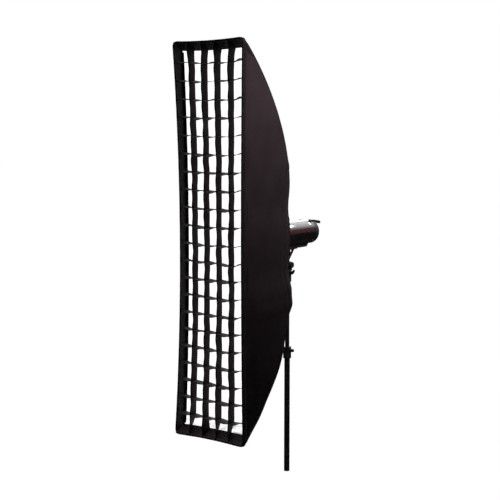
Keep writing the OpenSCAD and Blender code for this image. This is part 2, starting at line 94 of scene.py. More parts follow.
def node(tree, kind, **values):
    made = tree.nodes.new("ShaderNode" + kind)
    for key, value in values.items():
        if key in made.inputs:
            made.inputs[key].default_value = value
        else:
            setattr(made, key, value)
    return made


def coords(tree):
    return node(tree, "TexCoord").outputs["Object"]


def noise_at(tree, scale, detail=3.0, stretch=(1, 1, 1)):
    """Noise in object space; scale is in features per metre."""
    mapping = node(tree, "Mapping")
    mapping.inputs["Scale"].default_value = stretch
    tree.links.new(coords(tree), mapping.inputs["Vector"])
    tex = node(tree, "TexNoise")
    tex.inputs["Scale"].default_value = scale
    tex.inputs["Detail"].default_value = detail
    tree.links.new(mapping.outputs["Vector"], tex.inputs["Vector"])
    return tex.outputs["Fac"]


def remap(tree, value, low, high, from_low=0.3, from_high=0.7):
    made = node(tree, "MapRange")
    made.inputs["From Min"].default_value = from_low
    made.inputs["From Max"].default_value = from_high
    made.inputs["To Min"].default_value = low
    made.inputs["To Max"].default_value = high
    tree.links.new(value, made.inputs["Value"])
    return made.outputs["Result"]


def maths(tree, operation, a, b):
    made = node(tree, "Math")
    made.operation = operation
    for socket, value in zip(made.inputs, (a, b)):
        if isinstance(value, (int, float)):
            socket.default_value = value
        else:
            tree.links.new(value, socket)
    return made.outputs["Value"]


def blend_colours(tree, shader, fac, dark, light):
    """Base colour that goes from dark to light with fac."""
    ramp = node(tree, "ValToRGB")
    ramp.color_ramp.elements[0].color = (*dark, 1)
    ramp.color_ramp.elements[1].color = (*light, 1)
    tree.links.new(fac, ramp.inputs["Fac"])
    tree.links.new(ramp.outputs["Color"], shader.inputs["Base Color"])


def bump(tree, shader, height, distance, strength=1.0):
    made = node(tree, "Bump")
    made.inputs["Strength"].default_value = strength
    made.inputs["Distance"].default_value = distance
    tree.links.new(height, made.inputs["Height"])
    tree.links.new(made.outputs["Normal"], shader.inputs["Normal"])


WAVES_PER_SCALE = 3.18      # bands per metre of the wave texture at scale 1


def threads(tree, direction, per_metre):
    """Rounded ribs, one for each thread, along one of X, Y or Z."""
    wave = node(tree, "TexWave")
    wave.bands_direction = direction
    wave.inputs["Scale"].default_value = per_metre / WAVES_PER_SCALE
    wave.inputs["Distortion"].default_value = 0.0
    tree.links.new(coords(tree), wave.inputs["Vector"])
    return wave.outputs["Fac"]


def cloth(name, dark, light, rough, across, per_metre, depth, **inputs):
    """Woven cloth: threads both ways, faded patches, and uneven sheen."""
    mat, tree, shader = material(name, rough, **inputs)
    patches = noise_at(tree, 7, 5)
    fine = noise_at(tree, 160, 2)
    blend_colours(tree, shader, remap(tree, maths(tree, "ADD", patches, maths(tree, "MULTIPLY", fine, 0.35)),
                                      0, 1, 0.5, 0.85), dark, light)
    tree.links.new(remap(tree, patches, rough - 0.07, rough + 0.08), shader.inputs["Roughness"])
    weave = maths(tree, "MULTIPLY", threads(tree, across[0], per_metre), threads(tree, across[1], per_metre))
    slubs = maths(tree, "MULTIPLY", noise_at(tree, 420, 1, (1, 1, 0.2)), 0.6)
    bump(tree, shader, maths(tree, "ADD", weave, slubs), depth)
    return mat


def painted(name, colour, rough, grain=900, relief=0.00005, **inputs):
    """Paint or powder coat: orange peel, uneven gloss, and rubbed lighter spots."""
    mat, tree, shader = material(name, rough, **inputs)
    wear = noise_at(tree, 24, 6)
    light = [min(1, c * 1.5 + 0.004) for c in colour]
    blend_colours(tree, shader, remap(tree, wear, 0, 1, 0.35, 0.75), colour, light)
    gloss = remap(tree, noise_at(tree, 60, 4), rough * 0.8, min(1, rough * 1.35))
    tree.links.new(gloss, shader.inputs["Roughness"])
    bump(tree, shader, noise_at(tree, grain, 2), relief)
    return mat


def metal(name, colour, rough, along=(1, 1, 1)):
    """Bare metal with fine turned or drawn lines and smudges."""
    mat, tree, shader = material(name, rough, 1.0)
    lines = noise_at(tree, 500, 2, along)
    blend_colours(tree, shader, remap(tree, noise_at(tree, 35, 4), 0, 1), [c * 0.8 for c in colour], colour)
    tree.links.new(remap(tree, lines, rough * 0.8, rough * 1.4), shader.inputs["Roughness"])
    bump(tree, shader, lines, 0.00003)
    return mat


def clear(name, colour, rough, **inputs):
    mat, tree, shader = material(name, rough, Transmission_Weight=1.0, IOR=1.46, **inputs)
    shader.inputs["Base Color"].default_value = (*colour, 1)
    tree.links.new(remap(tree, noise_at(tree, 50, 3), rough, rough + 0.06), shader.inputs["Roughness"])
    return mat


def glowing_cloth(name, strength, shade_depth):
    """White diffuser cloth that glows to stand in for the flash's light behind it, with painted shade from
    folds dimming its lower end.
    """
    mat, tree, shader = material(name, 0.8)
    blend_colours(tree, shader, noise_at(tree, 9, 4), (0.86, 0.86, 0.86), (0.95, 0.95, 0.95))
    shader.inputs["Emission Color"].default_value = (1.0, 0.985, 0.985, 1)
    split = node(tree, "SeparateXYZ")
    tree.links.new(coords(tree), split.inputs["Vector"])
    shade_from = AXIS_Z - HALF_H + 0.03
    height = remap(tree, split.outputs["Z"], 0, 1, shade_from, shade_from + shade_depth)
    # Painted shade: streaky fold shading that dims the glow towards the lower end.
    fold_shade = remap(tree, noise_at(tree, 26, 3, (1, 1, 3.5)), 0.0, 0.8, 0.42, 0.62)
    low_end_shade = maths(tree, "MULTIPLY", maths(tree, "SUBTRACT", 1.0, height), fold_shade)
    tree.links.new(maths(tree, "MULTIPLY", maths(tree, "SUBTRACT", 1.0, low_end_shade), strength),
                   shader.inputs["Emission Strength"])
    weave = maths(tree, "MULTIPLY", threads(tree, "X", 1600), threads(tree, "Z", 1600))
    bump(tree, shader, weave, 0.00008)
    return mat


SHELL = dict(rough=0.62, per_metre=1300, depth=0.00016, Sheen_Weight=0.02, Sheen_Roughness=0.5,
             Specular_IOR_Level=0.02)
MATT = dict(Specular_IOR_Level=0.06)
TAPE_COLOURS = (0.009, 0.007, 0.009), (0.019, 0.016, 0.019)
M = {
    "shell_side": cloth("shell_cloth_side", (0.030, 0.022, 0.024), (0.043, 0.034, 0.036), across="YZ",
                        **SHELL),
    "shell_end": cloth("shell_cloth_end", (0.028, 0.021, 0.023), (0.041, 0.033, 0.035), across="XZ",
                       **SHELL),
    "tape": cloth("binding_tape", *TAPE_COLOURS, 0.7, "YZ", 900, 0.0002, **MATT),
    "tape_end": cloth("binding_tape_end", *TAPE_COLOURS, 0.7, "XY", 900, 0.0002, **MATT),
    "strip": cloth("grid_strip_upright", (0.0045, 0.0026, 0.0036), (0.0130, 0.0066, 0.0098), 0.6, "YZ", 1000,
                   0.00016, **MATT),
    # The level strips and the surround use the uprights' black cloth painted lighter, to stand in for the
    # diffuser's light on their top faces.
    "strip_painted_lit": cloth("grid_strip_painted_lit", (0.008, 0.006, 0.007), (0.024, 0.018, 0.021), 0.6, "XY", 1000,
                         0.00016, Specular_IOR_Level=0.18),
    "hook": cloth("hook_and_loop", (0.004, 0.004, 0.004), (0.009, 0.009, 0.009), 0.9, "XZ", 500, 0.0005,
                  **MATT),
    "lining": metal("silver_lining", (0.72, 0.72, 0.73), 0.35),
    "thread": painted("stitch_thread", (0.02, 0.018, 0.019), 0.5),
    # Both diffusers glow to stand in for the flash's light; the front one has painted fold shade along its
    # lower end.
    "diffuser": glowing_cloth("diffuser_cloth", 1.12, 0.075),
    "baffle": glowing_cloth("baffle_cloth", 0.8, 0.01),
    "elastic": cloth("white_elastic", (0.7, 0.7, 0.68), (0.82, 0.82, 0.8), 0.8, "XZ", 1200, 0.0002),
    "rod": painted("glass_fibre", (0.5, 0.49, 0.43), 0.35, 300, 0.0001),
    "ring": metal("machined_aluminium", (0.58, 0.58, 0.6), 0.3, (1, 0.05, 1)),
    "steel": metal("zinc_plate", (0.5, 0.5, 0.51), 0.32),
    "foil": metal("foil_label", (0.82, 0.82, 0.83), 0.22),
    "bright": metal("polished_reflector", (0.88, 0.88, 0.89), 0.12),
    "barrel": painted("gloss_black_paint", (0.018, 0.016, 0.018), 0.22, 1400, 0.00002, Coat_Weight=0.6,
                      Coat_Roughness=0.12),
    "red": painted("dark_red_paint", (0.13, 0.006, 0.012), 0.25, 1400, 0.00002, Coat_Weight=0.5,
                   Coat_Roughness=0.15),
    # A lighter grey for the bands low on each side of the barrel.
    "grey": painted("lighter_grey_band", (0.05, 0.05, 0.054), 0.3, 1400, 0.00002),
    "cast": painted("powder_coat", (0.012, 0.012, 0.013), 0.5, 1800, 0.00015),
    "plastic": painted("black_plastic", (0.012, 0.012, 0.013), 0.48, 2600, 0.00008),
    "gloss": painted("gloss_plastic", (0.01, 0.01, 0.011), 0.15, 600, 0.00001, Coat_Weight=0.5),
    "tube": painted("black_tube_coat", (0.02, 0.02, 0.022), 0.36, 2200, 0.00006),
    "nylon": painted("white_nylon", (0.62, 0.62, 0.58), 0.5),
    "ceramic": painted("ceramic", (0.72, 0.69, 0.62), 0.7),
    "glass": clear("dome_glass", (0.96, 0.97, 0.98), 0.03),
    "quartz": clear("quartz_tube", (0.95, 0.93, 0.86), 0.06),
    "board": painted("solder_mask", (0.02, 0.13, 0.05), 0.35),
    "sleeve_blue": painted("capacitor_sleeve", (0.02, 0.035, 0.12), 0.3),
    "button_red": painted("red_button", (0.4, 0.02, 0.015), 0.45, 2600, 0.00006),
    "button_grey": painted("grey_button", (0.22, 0.22, 0.225), 0.5, 2600, 0.00006),
}

NODE_LOOKS = {
    "tube": ["stand_tube", "riser_tube"],
    "plastic": ["stand_collar", "collar_knob", "spigot_lever", "tilt_knob", "rear_cap", "rear_handle",
                "fan_frame", "fan_rotor", "power_dial", "power_inlet", "fuse_cap", "ring_lock_screw",
                "rod_caps"],
    "nylon": ["collar_bush", "riser_plug"],
    "steel": ["stand_spigot", "tilt_bolt", "tilt_washers", "arm_screws", "release_slider", "sync_jack",
              "cap_screws"],
    "cast": ["bracket_socket", "tilt_arm", "front_mount_ring", "bottom_rail"],
    "barrel": ["head_barrel"],
    "red": ["side_stripes"],
    "grey": ["side_bands"],
    "bright": ["reflector_plate"],
    "quartz": ["flash_tube", "modelling_lamp"],
    "ceramic": ["lamp_socket"],
    "glass": ["glass_dome"],
    "board": ["circuit_board"],
    "sleeve_blue": ["capacitors"],
    "gloss": ["display_window", "power_switch"],
    "button_red": ["test_button"],
    "button_grey": ["model_button", "slave_button"],
    "ring": ["adapter_plate", "ring_retainer", "speedring"],
    "rod": ["rod_upper_right", "rod_upper_left", "rod_lower_right", "rod_lower_left"],
}
for look, names in NODE_LOOKS.items():
    for name in names:
        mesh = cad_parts[name].data
        mesh.materials.clear()
        mesh.materials.append(M[look])


# ---------------------------------------------------------------- mesh helpers

def add_mesh(name, verts, faces, mats, body, smooth=True):
    """A new piece that rides on a body and takes its finish from a material slot."""
    mesh = bpy.data.meshes.new(name)
    mesh.from_pydata([tuple(v) for v in verts], [], faces)
    mesh.update()
    for mat in mats if isinstance(mats, (list, tuple)) else [mats]:
        mesh.materials.append(mat)
    mesh.polygons.foreach_set("use_smooth", [smooth] * len(mesh.polygons))
    made = bpy.data.objects.new(name, mesh)
    bpy.context.scene.collection.objects.link(made)
    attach(made, body)
    return made


def grid_faces(rows, cols, first=0, closed=False):
    """Quads over rows of cols points each; closed joins the last column to the first."""
    faces = []
    for r in range(rows - 1):
        for c in range(cols if closed else cols - 1):
            n = (c + 1) % cols
            faces.append((first + r * cols + c, first + r * cols + n,
                          first + (r + 1) * cols + n, first + (r + 1) * cols + c))
    return faces


def faced_out(verts, faces, middle):
    """The faces turned so that they look away from middle."""
    face = faces[len(faces) // 2]
    a, b, c = (Vector(verts[i]) for i in face[:3])
    looks_in = (b - a).cross(c - b).dot(a - Vector(middle)) < 0
    return [tuple(reversed(f)) for f in faces] if looks_in else faces


def thicken(piece, thickness, offset=-1.0, inner=0, rim=0):
    """Gives a sheet its real thickness; inner and rim pick the materials there."""
    mod = piece.modifiers.new("thickness", "SOLIDIFY")
    mod.thickness = thickness
    mod.offset = offset
    mod.material_offset = inner
    mod.material_offset_rim = rim


def sweep_rings(path, ring_at, closed=False):
    """Points of a profile carried along a path; ring_at(i, point, tangent) gives one ring."""
    rings = []
    last = len(path) - 1
    for i, point in enumerate(path):
        if closed:
            tangent = (path[(i + 1) % len(path)] - path[i - 1]).normalized()
        else:
            tangent = (path[min(i + 1, last)] - path[max(i - 1, 0)]).normalized()
        rings.append(ring_at(i, point, tangent))
    return rings


def swept(name, path, ring_at, mats, body, closed=False, smooth=True):
    rings = sweep_rings(path, ring_at, closed)
    cols = len(rings[0])
    verts = [v for ring in rings for v in ring]
    faces = grid_faces(len(rings), cols, 0, True)
    if closed:
        base = (len(rings) - 1) * cols
        faces += [(base + c, base + (c + 1) % cols, (c + 1) % cols, c) for c in range(cols)]
    else:
        faces.append(tuple(range(cols - 1, -1, -1)))
        faces.append(tuple(range((len(rings) - 1) * cols, len(rings) * cols)))
    return add_mesh(name, verts, faces, mats, body, smooth)


def oval(point, wide, narrow, half_wide, half_narrow, sides=10):
    """A ring of points round point, in the plane of two unit vectors."""
    turns = [2 * math.pi * k / sides for k in range(sides)]
    return [point + wide * (half_wide * math.cos(t)) + narrow * (half_narrow * math.sin(t)) for t in turns]


def small_noise(point, per_metre, seed):
    return noise.noise(Vector(point) * per_metre + Vector((seed * 7.3, seed * 3.1, seed * 5.7)))


# ---------------------------------------------------------------- the softbox's outline

EDGE_BOW = 0.015        # the long front edges are pulled in by the cloth
EDGE_BACK = 0.017       # and stand back at mid-height
END_SAG = 0.003         # the short front edges sag between their corners
CORNER_R = 0.022
SEAM_R = 0.011
# Creases of the side panels: depth behind the front, relief, width and seed
CREASES = [(0.395, 0.0022, 0.010, 0.2), (0.425, -0.0016, 0.008, 1.3), (0.352, 0.0016, 0.014, 2.4)]
# Bumps of the seams: height about the lamp axis, size and width
SEAM_BUMPS = [(-0.225, 0.013, 0.042), (-0.288, 0.020, 0.036), (-0.36, 0.006, 0.028), (-0.53, 0.018, 0.125),
              (-0.70, 0.005, 0.045), (0.305, 0.003, 0.016)]
WAIST_IN, WAIST_AT, WAIST_SPREAD = 0.0095, 0.135, 0.070  # the shell narrows a little beside the ring
SIDES = ("right", "left")


def station(d):
    """Half height of the shell at depth d; its first few millimetres run straight back."""
    s = CURVE_REACH * (1 - d / BOX_DEPTH) ** (1 / CURVE_POWER)
    return min(s, HALF_H)


def near_front(d, reach):
    return math.exp(-max(d, 0) / reach)


def section_y(d, t):
    """Y of the section at depth d, for a height t from -1 to 1: the front stands back in the middle."""
    return FRONT_Y + d + EDGE_BACK * near_front(d, 0.08) * (1 - t * t)


def outline_point(d, panel, v):
    """Point of the shell at depth d. v runs from -1 to 1 across the panel, from seam to seam.
    The corners are arcs, split at the seams. Also returns how far across the panel it is."""
    half_h = station(d)
    half_w = half_width(half_h)
    r = SEAM_R + (CORNER_R - SEAM_R) * near_front(d, 0.03)
    along, out = (half_h, half_w) if panel in SIDES else (half_w, half_h)
    straight = along - r
    run = abs(v) * (straight + r * math.pi / 4)
    if run <= straight:
        a, o = run, out
    else:
        turn = (run - straight) / r
        a, o = straight + r * math.sin(turn), out - r * (1 - math.cos(turn))
    a = math.copysign(a, v)
    t = max(-1.0, min(1.0, a / along))
    belly = 1 - t * t
    full = min(1, half_h / 0.4)
    if panel in SIDES:
        o -= (EDGE_BOW * near_front(d, 0.10) + 0.004 * full) * belly
        return Vector((o if panel == "right" else -o, section_y(d, t), AXIS_Z + a)), t
    o -= (END_SAG * near_front(d, 0.10) + 0.003 * full) * belly
    return Vector((a, FRONT_Y + d, AXIS_Z + (o if panel == "top" else -o))), t


def seam_push(z):
    """Small outward and inward bumps of the rods' seams, at heights about the lamp axis."""
    return sum(size * math.exp(-((z - at) / width) ** 2) for at, size, width in SEAM_BUMPS)


def waist(z):
    """Change of the half width near the ring, at a height about the lamp axis."""
    return -WAIST_IN * math.exp(-((abs(z) - WAIST_AT) / WAIST_SPREAD) ** 2)


def cloth_relief(point, panel, d, t):
    """How far the cloth stands in or out, in metres: soft waves, pulls and creases."""
    z = point.z - AXIS_Z
    waves = small_noise((point.x * 0.6, point.y * 2.2, point.z * 0.8), 5.0, 1) * 0.0016
    pulls = small_noise((point.x * 3.0, point.y * 3.0, point.z * 0.5), 9.0, 2) * 0.0008
    creases = 0.0
    if panel in SIDES:
        for at, size, width, seed in CREASES:
            line = at + 0.012 * small_noise((seed, 0, z), 2.5, 4)
            strength = 0.55 + 0.9 * small_noise((seed, 1, z), 3.2, 5)
            creases += size * strength * math.exp(-((d - line) / width) ** 2)
    else:
        creases = 0.0035 * small_noise((point.x * 2.0, 0.3, point.z * 6.0), 3.0, 6) * (1 - t * t)
    return (waves + pulls + creases) * min(1.0, d / 0.03) * (1 - t ** 8)


def shell_point(d, panel, v):
    """Point of the cloth shell, with its waves and bumps."""
    point, t = outline_point(d, panel, v)
    relief = cloth_relief(point, panel, d, t)
    from_front = min(1, d / 0.1)
    push = seam_push(point.z - AXIS_Z) * from_front
    wider = push * 0.35 + waist(point.z - AXIS_Z) * from_front
    if panel in SIDES:
        point.x += (relief + wider) * (1 if panel == "right" else -1)
        point.y += relief * 0.4 + push * 0.8
    else:
        point.x += wider * t
        point.z += (relief + push * 0.3 * (1 - t * t)) * (1 if panel == "top" else -1)
        point.y += relief * min(1.0, d / 0.3) * 1.6 + push * 0.8
    return point


ROWS = 84
LIP_DEPTH = depth_at(HALF_H)


def shell_depths(count, front=0.001):
    """Depths of sections spaced evenly in height from the rear opening to the front."""
    heights = [OPENING + (HALF_H - OPENING) * i / (count - 3) for i in range(count - 2)]
    return [depth_at(s) for s in heights] + [(LIP_DEPTH + front) / 2, front]


def flat_length(panel, rows=60):
    """Length of the panel's cut from the rear opening to the front edge."""
    heights = [OPENING + (HALF_H - OPENING) * i / (rows - 1) for i in range(rows)]
    across = (lambda a, b: half_width(b) - half_width(a)) if panel in SIDES else (lambda a, b: b - a)
    return LIP_DEPTH + sum(math.hypot(depth_at(b) - depth_at(a), across(a, b))
                           for a, b in zip(heights, heights[1:]))


def shell_panel(panel, cad_node):
    """One of the four cloth panels, silver on the inside."""
    cols = 96 if panel in SIDES else 40
    verts = []
    for d in shell_depths(ROWS):
        verts += [shell_point(d, panel, -1 + 2 * c / (cols - 1)) for c in range(cols)]
    faces = faced_out(verts, grid_faces(ROWS, cols), (0, FRONT_Y, AXIS_Z))
    look = M["shell_side"] if panel in SIDES else M["shell_end"]
    piece = add_mesh("cloth_" + cad_node, verts, faces, [look, M["lining"]], "softbox")
    thicken(piece, 0.0008, -1, 1)
    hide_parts(cad_node)
    flat_length(panel)


for panel_name, cad_name in (("right", "side_panel_right"), ("left", "side_panel_left"),
                             ("top", "top_panel"), ("bottom", "bottom_panel")):
    shell_panel(panel_name, cad_name)


# ---------------------------------------------------------------- seams, hem and stitching

def seam_line(side, up, steps=110):
    """The line where a side panel meets the top or bottom panel, from the ring to the front."""
    panel = "right" if side > 0 else "left"
    return [shell_point(d, panel, float(up)) for d in shell_depths(steps)]


def outward(point):
    """Rough outward direction of the shell at a seam."""
    away = Vector((point.x / HALF_W, 0, (point.z - AXIS_Z) / HALF_H))
    away.y = 0.9 * min(1.0, (point.y - FRONT_Y) / 0.3)
    return away.normalized()


def seam_binding(name, side, up):
    def ring(i, point, tangent):
        out = outward(point)
        across = tangent.cross(out).normalized()
        out = across.cross(tangent).normalized()
        puff = 1 + 0.12 * small_noise(point, 60, 8)
        return oval(point + out * 0.0008, across, out, 0.0030 * puff, 0.0020 * puff, 8)

    swept(name, seam_line(side, up), ring, M["tape"], "softbox")


CORNERS = [(side, up) for side in (1, -1) for up in (1, -1)]


def corner_name(side, up):
    return f"{'upper' if up > 0 else 'lower'}_{'right' if side > 0 else 'left'}"


for side, up in CORNERS:
    seam_binding("seam_binding_" + corner_name(side, up), side, up)


def rim_places(count_long, count_short):
    """Places all round a section of the shell, as a panel and how far across it."""
    places = []
    for panel, count, sense in (("right", count_long, 1), ("top", count_short, -1),
                                ("left", count_long, -1), ("bottom", count_short, 1)):
        places += [(panel, sense * (-1 + 2 * i / count)) for i in range(count)]
    return places


def rim_line(places, d):
    """Points round the section at depth d, each with its inward direction and its tangent."""
    points = [outline_point(d, panel, v)[0] for panel, v in places]
    line = []
    for i, point in enumerate(points):
        tangent = (points[(i + 1) % len(points)] - points[i - 1]).normalized()
        inward = Vector((0, 1, 0)).cross(tangent)
        if inward.dot(Vector((0, point.y, AXIS_Z)) - point) < 0:
            inward = -inward
        line.append((point, inward.normalized(), tangent))
    return line


HEM_DEPTH = 0.024
# The folded tape's section: how far inward of the shell, and how far back, in metres
HEM_SECTION = [(-0.0012, HEM_DEPTH), (-0.0016, HEM_DEPTH * 0.6), (-0.0014, 0.004), (-0.0004, 0.0008),
               (0.0016, -0.0004), (0.0034, 0.0006), (0.0044, 0.004), (0.0040, HEM_DEPTH * 0.5),
               (0.0038, HEM_DEPTH * 0.9), (0.0016, HEM_DEPTH * 0.97)]


def front_hem():
    """Binding tape folded over the front edge, with a rounded bead at its front."""
    places = rim_places(150, 40)
    verts = []
    for inset, back in HEM_SECTION:
        for point, inward, _ in rim_line(places, max(back, 0)):
            ripple = 0.0005 * small_noise(point, 45, 9)
            verts.append(point + inward * (inset + ripple) + Vector((0, min(back, 0), 0)))
    cols, last = len(places), (len(HEM_SECTION) - 1) * len(places)
    faces = grid_faces(len(HEM_SECTION), cols, 0, True)
    faces += [(last + c, last + (c + 1) % cols, (c + 1) % cols, c) for c in range(cols)]
    piece = add_mesh("hem_binding", verts, faces, M["tape_end"], "softbox")
    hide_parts("front_hem")


front_hem()

STITCH_GAP = 0.0045
STITCH_LENGTH = 0.0028
STITCH_W = 0.0007


def one_stitch(verts, faces, at, along, out):
    across = along.cross(out)
    first = len(verts)
    for end in (-1, 1):
        tip = at + along * (end * STITCH_LENGTH / 2)
        verts += [tip + across * (STITCH_W / 2), tip - across * (STITCH_W / 2)]
    verts += [at + out * STITCH_W, at - out * STITCH_W * 0.4]
    e0, e1, e2, e3, top, low = range(first, first + 6)
    faces += [(e0, e1, top), (e1, e3, top), (e3, e2, top), (e2, e0, top),
              (e1, e0, low), (e3, e1, low), (e2, e3, low), (e0, e2, low)]


def stitches(name, lines):
    """Rows of single stitches. Each line is a list of a point and the outward direction there."""
    verts, faces = [], []
    for line in lines:
        travelled, due = 0.0, 0.0
        for (a, out), (b, _) in zip(line, line[1:]):
            step = (b - a).length
            while step > 1e-9 and due <= travelled + step:
                along = (b - a).normalized()
                one_stitch(verts, faces, a.lerp(b, (due - travelled) / step), along,
                           (out - along * out.dot(along)).normalized())
                due += STITCH_GAP
            travelled += step
    add_mesh(name, verts, faces, M["thread"], "softbox")


def panel_line(panel, v, steps=160):
    """A line of the shell beside a seam, from the ring to the hem."""
    line = []
    depths = [d for d in shell_depths(steps) if d > HEM_DEPTH]
    for d in depths:
        point = shell_point(d, panel, v)
        across = shell_point(d, panel, v * 0.97) - point
        ahead = shell_point(d * 0.99, panel, v) - point
        normal = across.cross(ahead).normalized()
        if normal.dot(outward(point)) < 0:
            normal = -normal
        line.append((point + normal * 0.0006, normal))
    return line


def hem_stitch_line(back):
    line = rim_line(rim_places(150, 40), back)
    return [(point - inward * 0.0017, -inward) for point, inward, _ in line + line[:1]]


stitches("shell_stitching", [panel_line(name, v) for name, at in (("right", 0.982), ("left", 0.982),
                                                                  ("top", 0.90), ("bottom", 0.90))
                             for v in (-at, at)])
stitches("hem_stitching", [hem_stitch_line(HEM_DEPTH * 0.8), hem_stitch_line(HEM_DEPTH * 0.28)])


def corner_patch(side, up):
    """A doubled patch over the rod's pocket at a front corner."""
    verts, rows, cols = [], 14, 17
    for r in range(rows):
        d = HEM_DEPTH + 0.050 * r / (rows - 1)
        reach = 0.034 * (1 - 0.45 * (r / (rows - 1)) ** 2)
        for c in range(cols):
            u = -1 + 2 * c / (cols - 1)
            if u < 0:
                panel, v = ("right" if side > 0 else "left"), up * (1 + u * reach / HALF_H)
            else:
                panel, v = ("top" if up > 0 else "bottom"), side * (1 - u * reach / HALF_W)
            point = shell_point(d, panel, v)
            out = Vector((point.x / HALF_W, 0.35, (point.z - AXIS_Z) / HALF_H)).normalized()
            verts.append(point + out * 0.0011)
    faces = faced_out(verts, grid_faces(rows, cols), (0, FRONT_Y, AXIS_Z))
    piece = add_mesh("corner_patch_" + corner_name(side, up), verts, faces, M["tape"], "softbox")
    thicken(piece, 0.0008, -1)


for side, up in CORNERS:
    corner_patch(side, up)


# ---------------------------------------------------------------- back sleeve

def back_sleeve():
    """Cloth gathered by elastic from the shell's square opening to the ring."""
    rows, cols = 26, 288
    collar_r = 0.0632
    start_y = FRONT_Y + depth_at(OPENING) + 0.0016
    verts = []
    for r in range(rows):
        f = r / (rows - 1)
        inward = min(1.0, f / 0.62)
        ease = inward * inward * (3 - 2 * inward)
        size = 0.0060 * math.sin(math.pi * (0.01 + 0.96 * f)) ** 0.7 * (1 - 0.75 * ease)
        y = start_y + 0.0055 * ease + max(0.0, f - 0.62) / 0.38 * 0.012
        for c in range(cols):
            a = 2 * math.pi * c / cols
            square = min(OPENING / max(abs(math.cos(a)), abs(math.sin(a))), OPENING * 1.30)
            radius = square + (collar_r - square) * ease
            pleat = math.sin(36 * a + 1.5 * math.sin(3 * a)) * size
            x, z = (radius + pleat) * math.cos(a), (radius + pleat) * math.sin(a)
            x += waist(z) * (x / OPENING) * (1 - ease)
            verts.append((x, y + pleat * 0.5 * (1 - ease), AXIS_Z + z))
    piece = add_mesh("sleeve_cloth", verts, grid_faces(rows, cols, 0, True), M["tape_end"],
                     "softbox")
    thicken(piece, 0.0008, 0)
    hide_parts("back_sleeve")
    band = [Vector((collar_r * math.cos(t), start_y + 0.0165, AXIS_Z + collar_r * math.sin(t)))
            for t in (2 * math.pi * k / 120 for k in range(120))]

    def ring(i, point, tangent):
        out = Vector((point.x, 0, point.z - AXIS_Z)).normalized()
        return oval(point + out * 0.0012, Vector((0, 1, 0)), out, 0.0026, 0.0016, 8)

    swept("sleeve_elastic", band, ring, M["tape"], "softbox", closed=True)


def rear_binding():
    """Tape round the shell's rear opening, over its seam with the sleeve."""
    steps = 30
    path = []
    for panel, way in (("right", 1), ("top", -1), ("left", -1), ("bottom", 1)):
        path += [shell_point(depth_at(OPENING), panel, way * (2 * i / steps - 1)) for i in range(steps)]

    def ring(i, point, tangent):
        out = Vector((point.x, 0, point.z - AXIS_Z)).normalized()
        return oval(point + out * 0.0014, Vector((0, 1, 0)), out, 0.0045, 0.0016, 8)

    swept("rear_binding", path, ring, M["tape"], "softbox", closed=True)


back_sleeve()
rear_binding()


# ---------------------------------------------------------------- fabric grid and its surround

GRID_FROM = grid_low.y - FRONT_Y
GRID_TO = grid_high.y - FRONT_Y + 0.006     # the cloth strips are a little deeper than the CAD grid
GRID_HALF_X = (grid_high.x - grid_low.x) / 2 - 0.0006
GRID_HALF_Z = (grid_high.z - grid_low.z) / 2 - 0.0006
COL = 2 * GRID_HALF_X / GRID_COLS
ROW = 2 * GRID_HALF_Z / GRID_ROWS
STRIP_T = 0.0011
LIP_INSET = 0.0050
# How far the rear edge of each upright is pulled sideways in the last cell at the top and bottom
TOP_PULL = (0.003, 0.007, 0.012, 0.014)
BOTTOM_PULL = (-0.024, 0.010, -0.022, -0.020)
# How far the level strips hang down where they cross the uprights, and at their two ends
LEVEL_HANG = (0.0, -0.0080, -0.0115, -0.0105, -0.0135, -0.0030)
LEVEL_DROP = 0.0045     # and how far their rear edges drop, more so lower down
draw = random.Random(4)


def pulled_in(x, z):
    """x of the grid at height z, where the lip's sides are pulled in."""
    t = z / HALF_H
    return x * (1 - (EDGE_BOW * 0.82 + 0.004) * (1 - t * t) / HALF_W)


def grid_y(z, q):
    """y of the grid at height z; q runs from 0 at its front edges to 1 at its rear edges."""
    t = max(-1.0, min(1.0, z / HALF_H))
    return section_y(GRID_FROM, t) * (1 - q) + section_y(GRID_TO, t) * q


GRID_END = HALF_H - LIP_INSET - 0.001
LOWEST_LEVEL = GRID_HALF_Z - ROW


def spread_out(z):
    """Height of a point of the grid: its upper half and its lowest cells are stretched to the lip."""
    if z > 0:
        return z * GRID_END / GRID_HALF_Z
    if z > -LOWEST_LEVEL:
        return z
    return -LOWEST_LEVEL + (z + LOWEST_LEVEL) * (GRID_END - LOWEST_LEVEL) / ROW


def hump(t):
    return math.sin(math.pi * t) ** 2


def ease(t):
    return t * t * (3 - 2 * t)


def along_cells(cells, per_cell):
    """Steps along a strip, as the cell and how far through it."""
    steps = [(cell, i / per_cell) for cell in range(cells) for i in range(per_cell)]
    return steps + [(cells - 1, 1.0)]


DEPTH_STEPS = [k / 5 for k in range(6)]


def upright_strip(index):
    """One of the upright strips: wavy between the level strips, pulled askew at its two ends."""
    x0 = -GRID_HALF_X + index * COL
    knots = [draw.uniform(-0.0015, 0.0015) for _ in range(GRID_ROWS + 1)]
    front_wave = [draw.choice((-1, 1)) * draw.uniform(0.0010, 0.0042) for _ in range(GRID_ROWS)]
    back_wave = [w * draw.uniform(-0.4, 0.7) for w in front_wave]
    steps = along_cells(GRID_ROWS, 8)
    verts = []
    for q in DEPTH_STEPS:
        for cell, t in steps:
            z = spread_out(-GRID_HALF_Z + (cell + t) * ROW)
            x = x0 + knots[cell] * (1 - ease(t)) + knots[cell + 1] * ease(t)
            x += (front_wave[cell] * (1 - q) + back_wave[cell] * q) * hump(t)
            if cell == 0:
                x += BOTTOM_PULL[index - 1] * q * (1 - ease(t))
            if cell == GRID_ROWS - 1:
                x += TOP_PULL[index - 1] * q * ease(t)
            y = grid_y(z, q) + 0.0008 * small_noise((x, 0, z), 20, 20 + index) * (1 - q)
            verts.append((pulled_in(x, z), y, AXIS_Z + z))
    return verts, grid_faces(len(DEPTH_STEPS), len(steps))


